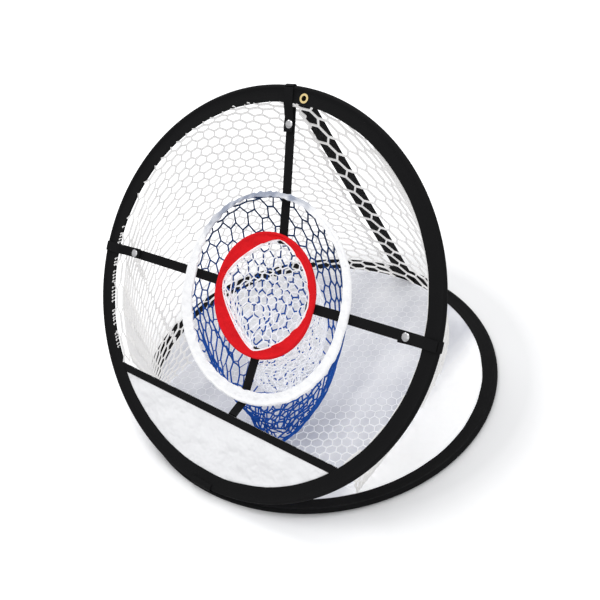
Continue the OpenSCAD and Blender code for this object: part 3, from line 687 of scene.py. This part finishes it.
outer_outline = sleeve_outline(OUTER_TUBE_R, RING_POCKET_R, OUTER_EDGE_R, OUTER_HALF)
outer_ring = spun("outer_ring_cloth", outer_outline, 260)
for vertex, angle, radius, ring, share in round_ring(outer_ring, OUTER_TUBE_R, OUTER_FLAT):
    fold = noise.noise(ring * WHITE_FOLDS + Vector((0, 0, radius * 60)))
    puff = noise.noise(ring * WHITE_PUFFS + Vector((0, 0, 4)))
    wide = round_table(angle, OUTER_WIDTH) - OUTER_W
    under = math.exp(-((angle - UNDER_A) / UNDER_RUN) ** 2)
    fold += 0.6 * under * math.sin(math.radians(angle) * UNDER_FOLDS + 4 * share + 5 * puff)
    out = -share * wide + PUFF_OUT * fold * (1 + puff)
    lift = (1 if vertex.co.z > 0 else 0.4) * PUFF_UP * fold * share
    vertex.co.x += ring.x * out
    vertex.co.y += ring.y * out
    vertex.co.z += lift + UNDER_UP * under * share
oval(outer_ring, OUTER_STRETCH, OUTER_DROP, OUTER_DEPTH)
settle(outer_ring, LEANING)
done(outer_ring, "front_frame", ring_cloth, "white_cloth", "outer_ring_sleeve", smooth=60)

# %% Sew the red ring
TWISTS = ((148, 34, 0.0042), (112, -26, 0.0034), (60, 22, 0.0030),
          (205, 30, 0.0040), (250, -20, 0.0030), (325, -24, 0.0034))
TWIST_RUN, TWIST_RISE = 30, 1.7
RED_FOLDS, RED_WAVES = 6, 9
FOLD_OUT, FOLD_UP = 0.0008, 0.0016

inner_outline = sleeve_outline(INNER_TUBE_R, RING_POCKET_R, INNER_EDGE_R, INNER_HALF)
inner_ring = spun("inner_ring_cloth", inner_outline, 220)
for vertex, angle, radius, ring, share in round_ring(inner_ring, INNER_TUBE_R, INNER_FLAT):
    fold = noise.noise(ring * RED_FOLDS + Vector((0, 0, radius * 40)))
    fold += 0.5 * math.sin(math.radians(angle) * RED_WAVES + 5 * share)
    wide = round_table(angle, INNER_WIDTH, True) - INNER_W
    out = -share * (wide + FOLD_OUT * fold)
    vertex.co.x += ring.x * out
    vertex.co.y += ring.y * out
    for start, slant, height in TWISTS:
        past = (angle - start - slant * share) % 360
        if past < TWIST_RUN:
            fold += height / FOLD_UP * min(past / TWIST_RISE, 1) * (1 - past / TWIST_RUN)
    vertex.co.z += share * (FOLD_UP * fold - 0.10 * max(wide, 0))
oval(inner_ring, INNER_STRETCH, 0, INNER_DEPTH)
settle(inner_ring, LEANING)
done(inner_ring, "front_frame", red_cloth, "red_cloth", "inner_ring_sleeve", smooth=60)

# %% [markdown]
# ## Netting
# Knotless netting has six-sided meshes: zigzag strands run down the net, and short links join each to the next.
# A formula gives the net's form, a zigzag pattern is laid on it, and small shifts keep the meshes from looking printed.
# The pattern is the same for every net here, and only its form and mesh size change.
# Each strand or link is then a thin round thread along its line.

# %% The mesh pattern
SWING, SLIM = 0.25, 0.667
ALONG_LUMP, DOWN_LUMP = 0.37, 0.29
OTHER_LUMP = Vector((17.3, 31.7, 5.1))
HEM = 0.06


def meshes(form, start, end, columns, rows, uneven, seed, closed=False, sparse=1.0):
    """Strands and links of a six-sided mesh on form(a, t), with columns along a and rows along t.
    Past the share sparse, only every second strand goes on."""
    pitch = (end - start) / columns
    steps = 2 * rows
    whole = int(steps * sparse)
    spots = {}

    def knot(column, step):
        key = (column % columns if closed else column, step)
        if key not in spots:
            thin = step > whole
            swing = SWING if ((key[0] // 2 if thin else key[0]) + step) % 2 else -SWING
            swing *= 2 if thin else 1
            lump = Vector((key[0] * ALONG_LUMP + seed, step * DOWN_LUMP, seed))
            loose = uneven * min(step, steps - step, 2) / 2
            a = start + pitch * (key[0] + 0.5 + swing * SLIM + noise.noise(lump) * loose)
            spots[key] = form(a, clamp((step + noise.noise(lump + OTHER_LUMP) * loose) / steps))
        return spots[key]

    count = columns if closed else columns - 1
    strands = [[knot(c, s) for s in range((whole if c % 2 else steps) + 1)] for c in range(count)]
    links = []
    for c in range(count if closed else count - 1):
        links += [[knot(c, s), knot(c + 1, s)] for s in range(1, min(whole + 1, steps)) if (c % columns + s) % 2]
    for c in range(0, count if closed else count - 2, 2):
        links += [[knot(c, s), knot(c + 2, s)] for s in range(whole + 1, steps) if (c // 2 + s) % 2]
    return strands + links


def below_hem(t):
    """How far a point lies down the hem, and then down the net below it, both from 0 to 1."""
    return min(t / HEM, 1), max((t - HEM) / (1 - HEM), 0)


trial = meshes(lambda a, t: Vector((a, t, 0)), 0, 1, 4, 4, 0, 0)
print("a trial net, 4 columns by 4 rows:", len(trial), "strands and links")

# %% [markdown]
# ## The catch net
# White netting hangs from the front hoop, down to the ground hoop behind it, and stops the ball.
# Its top edge is sewn round the front hoop's flat, and its foot follows a rounded line on the floor.

# %% The form of the catch net
NET_START = -40.25
NET_MID, NET_HALF_W, NET_REAR, NET_FRONT = -0.069, 0.205, 0.278, -0.1873
FRONT_TURN, FOOT_POWER, FOOT_Z = 55, 0.85, 0.0035
RIGHT_SPREAD, LEFT_SPREAD = 1.45, 1.2
HEM_IN, HEM_TOP, HEM_DEPTH = 0.006, 0.001, 0.015
NET_SAG, NET_BULGE = 0.008, 0.026


def foot_line(turn):
    """The net's foot on one side, by its turn in degrees from the front corner to the back."""
    if turn < 0:
        return NET_HALF_W, mix(NET_MID, NET_FRONT, -turn / FRONT_TURN)
    c, s = cos_sin(turn)
    return NET_HALF_W * max(c, 0) ** FOOT_POWER, NET_MID + (NET_REAR - NET_MID) * s ** FOOT_POWER


def catch_form(a, t):
    """A point of the catch net: a is its angle round the hoop, t runs from the hoop to the floor."""
    share = max((min(a, 180 - a) - NET_START) / (90 - NET_START), 0)
    x, y = foot_line(mix(-FRONT_TURN, 90, share ** (RIGHT_SPREAD if a < 90 else LEFT_SPREAD)))
    foot = Vector((x if a <= 90 else -x, y, FOOT_Z))
    hem, low = below_hem(t)
    rim = clock(a, RIM_R - HEM_IN * hem, HEM_TOP - HEM_DEPTH * hem)
    inward = Vector((-foot.x, NET_MID - foot.y, 0)).normalized()
    lean = NET_SAG * share ** 3 - NET_BULGE * math.sin(math.pi * share ** 1.5)
    return mix(rim, foot, low) + 4 * low * (1 - low) * lean * inward


print("catch net, from the hoop's top to the floor:", round((catch_form(90, 0) - catch_form(90, 1)).length, 3), "m")

# %% Columns of the catch net
RIGHT_PITCH, UPPER_PITCH, LEFT_PITCH = 5.2, 3.7, 8.25
UPPER_FROM, UPPER_RUN, LEFT_FROM, LEFT_RUN = 85, 45, 140, 30
LAST_COLUMN_A = 188 - NET_START

columns = [NET_START]
while columns[-1] < LAST_COLUMN_A:
    pitch = mix(RIGHT_PITCH, UPPER_PITCH, clamp((columns[-1] - UPPER_FROM) / UPPER_RUN))
    columns.append(columns[-1] + mix(pitch, LEFT_PITCH, clamp((columns[-1] - LEFT_FROM) / LEFT_RUN)))


def catch_column(c, t):
    """A point of the catch net by its column.
    Columns are closest together at the upper left and widest apart at the left end."""
    i = min(max(int(c), 0), len(columns) - 2)
    return catch_form(mix(columns[i], columns[i + 1], c - i), t)


print("catch net:", len(columns), "columns")

# %% Hang the catch net
CATCH_THREAD = 0.0036


def net(name, runs, thread, full=None):
    """Threads of that thickness along lines of points, as one mesh.
    full gives a share of the thickness at a point."""
    curve = bpy.data.curves.new(name, "CURVE")
    curve.dimensions = "3D"
    curve.bevel_depth = thread / 2
    curve.bevel_resolution = 1
    curve.use_fill_caps = True
    for run in runs:
        line = curve.splines.new("POLY")
        line.points.add(len(run) - 1)
        for knot, spot in zip(line.points, run):
            knot.co = (*spot, 1)
            knot.radius = full(spot) if full else 1
    piece = bpy.data.objects.new(name, curve)
    bpy.context.collection.objects.link(piece)
    pick(piece)
    bpy.ops.object.convert(target="MESH")
    return bpy.context.object


# The net gets deeper towards the top, so each part of it has its own number of rows.
# Neighbours share two columns, because an open net's strands stop short of its end.
corner, middle, left, end = 8, 25, 43, len(columns) - 1
runs = []
for first, last, rows in ((0, corner + 2, 6), (corner, middle + 2, 13), (middle, left + 2, 24), (left, end, 26)):
    runs += meshes(catch_column, first, last, last - first, rows, 0.2, 3.1)
catch_net = net("catch_net_strands", runs, CATCH_THREAD)
print("catch net:", len(runs), "strands and links")

# %% Sew the catch net to the hoop
SEWING_THREAD = 0.0017
STITCH_BACK, STITCH_EDGE_R, STITCH_Z = (0.2792, -0.001), INNER_R + 0.001, 0.0030
STITCH_REACH, STITCH_VARY = 0.0020, 0.0024


def stitches(start, end, step, gaps):
    """Short stitches of thread that sew the net's edge to the front of the hoop's flat, with gaps between some."""
    found = []
    for i in range(int((end - start) / step)):
        a = start + step * (i + 0.4 * noise.noise(Vector((i * 0.7, 2, 0))))
        reach = STITCH_REACH + STITCH_VARY * noise.noise(Vector((i * 0.9, 5, 0)))
        if noise.noise(Vector((i * 0.43, 8, 0))) < gaps:
            continue
        edge, tip = (STITCH_EDGE_R, STITCH_Z), (INNER_R + reach, STITCH_Z)
        found.append([clock(a, *STITCH_BACK), clock(a + step * 0.3, *edge),
                      clock(a + step * 0.5, *tip), clock(a + step * 0.7, *edge)])
    return found


left_stitches, top_stitches = stitches(174, 216, 1.1, -0.15), stitches(100, 116, 1.4, 0.05)
sewing = net("catch_net_sewing", left_stitches + top_stitches, SEWING_THREAD)
pick(catch_net)
sewing.select_set(True)
bpy.ops.object.join()
done(catch_net, "front_frame", white_net, "white_net", "catch_net", smooth=80)
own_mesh(catch_net)

# %% [markdown]
# ## The floor net
# The same netting lies over the white floor cloth and is sewn to the catch net's foot.
# It keeps the bag closed when the net is picked up with balls in it.
# White on white it hardly shows, except at the front right, so its thread is made thinner away from that corner.

# %% Lay the floor net
FLOOR_NET_Z, FLOOR_THREAD, FLOOR_MARGIN = 0.0036, 0.0018, 0.002
FLOOR_POWER, SEAM_STEPS = 2.35, 160
FLOOR_NET_HALF, FLOOR_NET_BACK, FLOOR_NET_FRONT = 0.21, 0.29, -0.20
THINNEST, THIN_FROM, THIN_RUN = 0.3, 0.12, 0.10


def inside_foot(x, y):
    """True where a point of the floor lies inside the catch net's foot, or just past it."""
    half_w = NET_HALF_W + FLOOR_MARGIN
    if y < NET_MID:
        return abs(x) < half_w and y > NET_FRONT - FLOOR_MARGIN
    deep = (y - NET_MID) / (NET_REAR + FLOOR_MARGIN - NET_MID)
    return (abs(x) / half_w) ** FLOOR_POWER + deep ** FLOOR_POWER < 1


def floor_form(a, t):
    """A point of the floor net: a runs to the right and t to the front."""
    x, y = mix(-FLOOR_NET_HALF, FLOOR_NET_HALF, a), mix(FLOOR_NET_BACK, FLOOR_NET_FRONT, t)
    return Vector((x, y, FLOOR_NET_Z + 0.0002 * wave(x, y, 9, 0.05)))


def floor_thread(spot):
    """A share of the thread's thickness, full at the front right."""
    return mix(THINNEST, 1, clamp((spot.x - spot.y - THIN_FROM) / THIN_RUN))


runs = []
for run in meshes(floor_form, 0, 1, 30, 29, 0.3, 8.7):
    kept = []
    for spot in run:
        if inside_foot(spot.x, spot.y):
            kept.append(spot)
            continue
        runs.append(kept)
        kept = []
    runs.append(kept)
runs = [run for run in runs if len(run) > 1]
seam = [catch_form(mix(NET_START, 180 - NET_START, i / SEAM_STEPS), 1) for i in range(SEAM_STEPS + 1)]
floor_net = net("floor_net_strands", runs + [seam + [seam[0]]], FLOOR_THREAD, floor_thread)
done(floor_net, "base", pocket_net, "white_net", "floor_net", smooth=80)

# %% [markdown]
# ## The pockets
# Behind each ring hangs a small net that catches the ball.
# A blue one hangs on the white ring, and a white one inside it on the red ring.
# Each starts square to its ring, sags to the floor under its own weight, and is gathered to a tail.

# %% The form of a pocket
MOUTH_DEPTH = 0.015
BUNCH_A, BUNCH_FOLDS, BUNCH_SWING = 205, 14, 7
BUNCH_FROM, BUNCH_RUN = 0.06, 0.2
CRUSH_FROM, CRUSH_RUN, CRUSH_TURN, CRUSH_SWELL = 0.25, 0.5, 22, 0.25


def pocket_form(edge, start_w, drop, stretch, belly, tail, fall, blunt, gather_r, tangle, bunch):
    """The form of a pocket: a is the angle round its ring, t runs from the mouth to the tail.
    edge is its radius at the mouth, belly and tail bend its middle line, and fall and blunt draw it in to gather_r.
    tangle crumples its lower half, and bunch gathers its left side in folds."""
    start = front(RING_X, -drop, start_w - MOUTH_DEPTH)

    def form(a, t):
        hem, low = below_hem(t)
        crush = clamp((low - CRUSH_FROM) / CRUSH_RUN) * tangle
        around = Vector((*cos_sin(a), low * 3))
        left = max(cos_sin(a - BUNCH_A)[0], 0) ** 3 * clamp((low - BUNCH_FROM) / BUNCH_RUN) * bunch
        folds = BUNCH_SWING * math.sin(math.radians(a * BUNCH_FOLDS))
        a += crush * CRUSH_TURN * noise.noise(around * 2.3) + left * folds
        line = start * (1 - low) ** 2 + belly * 2 * low * (1 - low) + tail * low ** 2
        line = line + OUT * MOUTH_DEPTH * (1 - hem)
        r = mix(gather_r, edge(a % 360), max(1 - low ** fall, 0) ** blunt)
        r *= 1 + crush * CRUSH_SWELL * noise.noise(around * 1.7 + Vector((9, 0, 0)))
        lean = LEAN * (1 - low) ** 2
        upward = Vector((0, math.cos(lean), math.sin(lean)))
        c, s = cos_sin(a)
        pull = stretch / 2 * max(min(s * 8, 1), -1) * (1 - low)
        return line + r * c * ACROSS + (r * s + pull) * upward

    return form


print("each pocket goes straight back for", MOUTH_DEPTH, "m first")

# %% Hang the blue pocket
OUTER_THREAD, OUTER_MOUTH_R, OUTER_MOUTH_W = 0.0027, 0.1515, -0.0170

outer_form = pocket_form(
    lambda a: OUTER_MOUTH_R - round_table(a, OUTER_WIDTH), OUTER_MOUTH_W, OUTER_DROP, OUTER_STRETCH,
    belly=Vector((0.0004, -0.0724, 0.0021)), tail=Vector((0.0617, -0.1869, 0.0452)),
    fall=0.97, blunt=1.035, gather_r=0.0159, tangle=1.0, bunch=1.0)
runs = meshes(outer_form, -8, 243, 32, 18, 0.35, 5.5, sparse=0.45)
runs += meshes(outer_form, 236, 356, 11, 8, 0.5, 1.5)
outer_pocket = net("outer_pocket_strands", runs, OUTER_THREAD)
done(outer_pocket, "front_frame", blue_net, "blue_net", "outer_pocket", smooth=80)
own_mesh(outer_pocket)

# %% Hang the white pocket
INNER_THREAD, INNER_MOUTH_R, INNER_MOUTH_W = 0.0023, 0.0895, -0.0185


def mouth(form, t=0.0):
    """A closed line round a pocket's mouth."""
    return [form(a, t) for a in range(0, 361, 3)]


inner_form = pocket_form(
    lambda a: INNER_MOUTH_R - round_table(a, INNER_WIDTH, True), INNER_MOUTH_W, 0, INNER_STRETCH,
    belly=Vector((0.008, -0.066, 0.1337)), tail=Vector((0.022, -0.1239, 0.062)),
    fall=2.0, blunt=0.6, gather_r=0.007, tangle=1.2, bunch=0.0)
runs = meshes(inner_form, 0, 360, 34, 16, 0.6, 2.2, closed=True, sparse=0.8)
runs += [mouth(inner_form), mouth(inner_form, 0.02)]
inner_pocket = net("inner_pocket_strands", runs, INNER_THREAD)
done(inner_pocket, "front_frame", pocket_net, "white_net", "inner_pocket", smooth=80)
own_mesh(inner_pocket)

# %% [markdown]
# ## The floor and the light
# The object stands on a plain white floor under a wide soft light, with enough light all round to keep the nets bright.
# Away from the object the floor adds a little light of its own that only the camera sees, which makes it white there.

# %% Lay the floor
PAPER_CENTRE = (0.035, 0.03, 0)
PAPER_FROM, PAPER_TO, PAPER_LIGHT = 0.31, 0.42, 0.4

pick()
bpy.ops.mesh.primitive_plane_add(size=40, location=(0, 0, -0.0002))
floor = bpy.context.object
floor.name = "floor"
floor_white = finish("floor white", (0.95, 0.95, 0.95), 0.95)
tree = floor_white.node_tree
place = added(tree, "TexCoord")
moved = added(tree, "VectorMath", {1: PAPER_CENTRE}, "SUBTRACT")
tree.links.new(place.outputs["Object"], moved.inputs[0])
away = added(tree, "VectorMath", operation="LENGTH")
tree.links.new(moved.outputs[0], away.inputs[0])
paper = added(tree, "MapRange", {"From Min": PAPER_FROM, "From Max": PAPER_TO, "To Max": PAPER_LIGHT})
tree.links.new(away.outputs["Value"], paper.inputs["Value"])
rays = added(tree, "LightPath")
amount = added(tree, "Math", operation="MULTIPLY")
tree.links.new(rays.outputs["Is Camera Ray"], amount.inputs[0])
tree.links.new(paper.outputs["Result"], amount.inputs[1])
glimmer = added(tree, "Emission")
tree.links.new(amount.outputs[0], glimmer.inputs["Strength"])
both = added(tree, "AddShader")
tree.links.new(tree.nodes["Principled BSDF"].outputs["BSDF"], both.inputs[0])
tree.links.new(glimmer.outputs["Emission"], both.inputs[1])
tree.links.new(both.outputs["Shader"], tree.nodes["Material Output"].inputs["Surface"])
floor.data.materials.append(floor_white)
print("floor laid")

# %% Light the stage
SOFT_LIGHT, SOFT_COLOUR = 0.60, (0.97, 0.98, 1.0, 1)

world = bpy.data.worlds.new("studio")
bpy.context.scene.world = world
world.use_nodes = True
tree = world.node_tree
soft = tree.nodes["Background"]
soft.inputs["Color"].default_value = SOFT_COLOUR
soft.inputs["Strength"].default_value = SOFT_LIGHT
white = added(tree, "Background", {"Color": (1, 1, 1, 1), "Strength": 1.0})
rays = added(tree, "LightPath")
seen = rays.outputs["Is Camera Ray"]
for kind in ("Is Glossy Ray", "Is Transmission Ray"):
    more = added(tree, "Math", operation="MAXIMUM")
    tree.links.new(seen, more.inputs[0])
    tree.links.new(rays.outputs[kind], more.inputs[1])
    seen = more.outputs[0]
either = added(tree, "MixShader")
tree.links.new(seen, either.inputs["Fac"])
tree.links.new(soft.outputs["Background"], either.inputs[1])
tree.links.new(white.outputs["Background"], either.inputs[2])
tree.links.new(either.outputs["Shader"], tree.nodes["World Output"].inputs["Surface"])


def lamp(name, spot, aim, size, power):
    """A square soft light at a spot, turned to its aim."""
    light = bpy.data.lights.new(name, "AREA")
    light.shape, light.size, light.energy = "SQUARE", size, power
    holder = bpy.data.objects.new(name, light)
    bpy.context.collection.objects.link(holder)
    holder.location = spot
    holder.rotation_euler = (Vector(aim) - Vector(spot)).to_track_quat("-Z", "Y").to_euler()


lamp("key", (-1.6, 0.6, 2.0), (0, 0, 0.1), 1.0, 17)
lamp("top", (0.35, -0.35, 2.3), (0, 0, 0.1), 0.9, 12)
lamp("fill", (0.9, -1.6, 1.5), (0, 0, 0.15), 1.6, 4)
print("lamps:", len(bpy.data.lights))

# %% [markdown]
# ## The camera
# The camera stands where the picture was taken from: to the right of the player and above, a little tilted.
# Its place is given by two angles and a distance, and it then looks a little past the middle of the object.

# %% Place the camera
AZIMUTH, ELEVATION, DISTANCE = 41.152, 44.047, 1.45537
PAN, TILT, ROLL = -0.5255, 4.8072, -8.7456
FOCAL_PIXELS, PICTURE_PIXELS, SENSOR = 833.0, 600, 36

(az_c, az_s), (el_c, el_s) = cos_sin(AZIMUTH), cos_sin(ELEVATION)
back_dir = Vector((az_s * el_c, -az_c * el_c, el_s))
right = Vector((az_c, az_s, 0))
ahead = -back_dir + right * math.tan(math.radians(PAN))
ahead += back_dir.cross(right) * math.tan(math.radians(TILT))
ahead.normalize()
level = ahead.cross(Vector((0, 0, 1))).normalized()
rise = level.cross(ahead)
roll_c, roll_s = cos_sin(ROLL)
side = level * roll_c + rise * roll_s
upright = rise * roll_c - level * roll_s
eye = bpy.data.objects.new("camera", bpy.data.cameras.new("camera"))
bpy.context.collection.objects.link(eye)
eye.data.sensor_width = SENSOR
eye.data.lens = FOCAL_PIXELS / PICTURE_PIXELS * SENSOR
eye.data.clip_end = 100
eye.matrix_world = Matrix((side, upright, -ahead)).transposed().to_4x4()
eye.location = back_dir * DISTANCE
scene = bpy.context.scene
scene.camera = eye
scene.view_settings.view_transform = "Standard"
print("camera at", [round(c, 4) for c in eye.location])
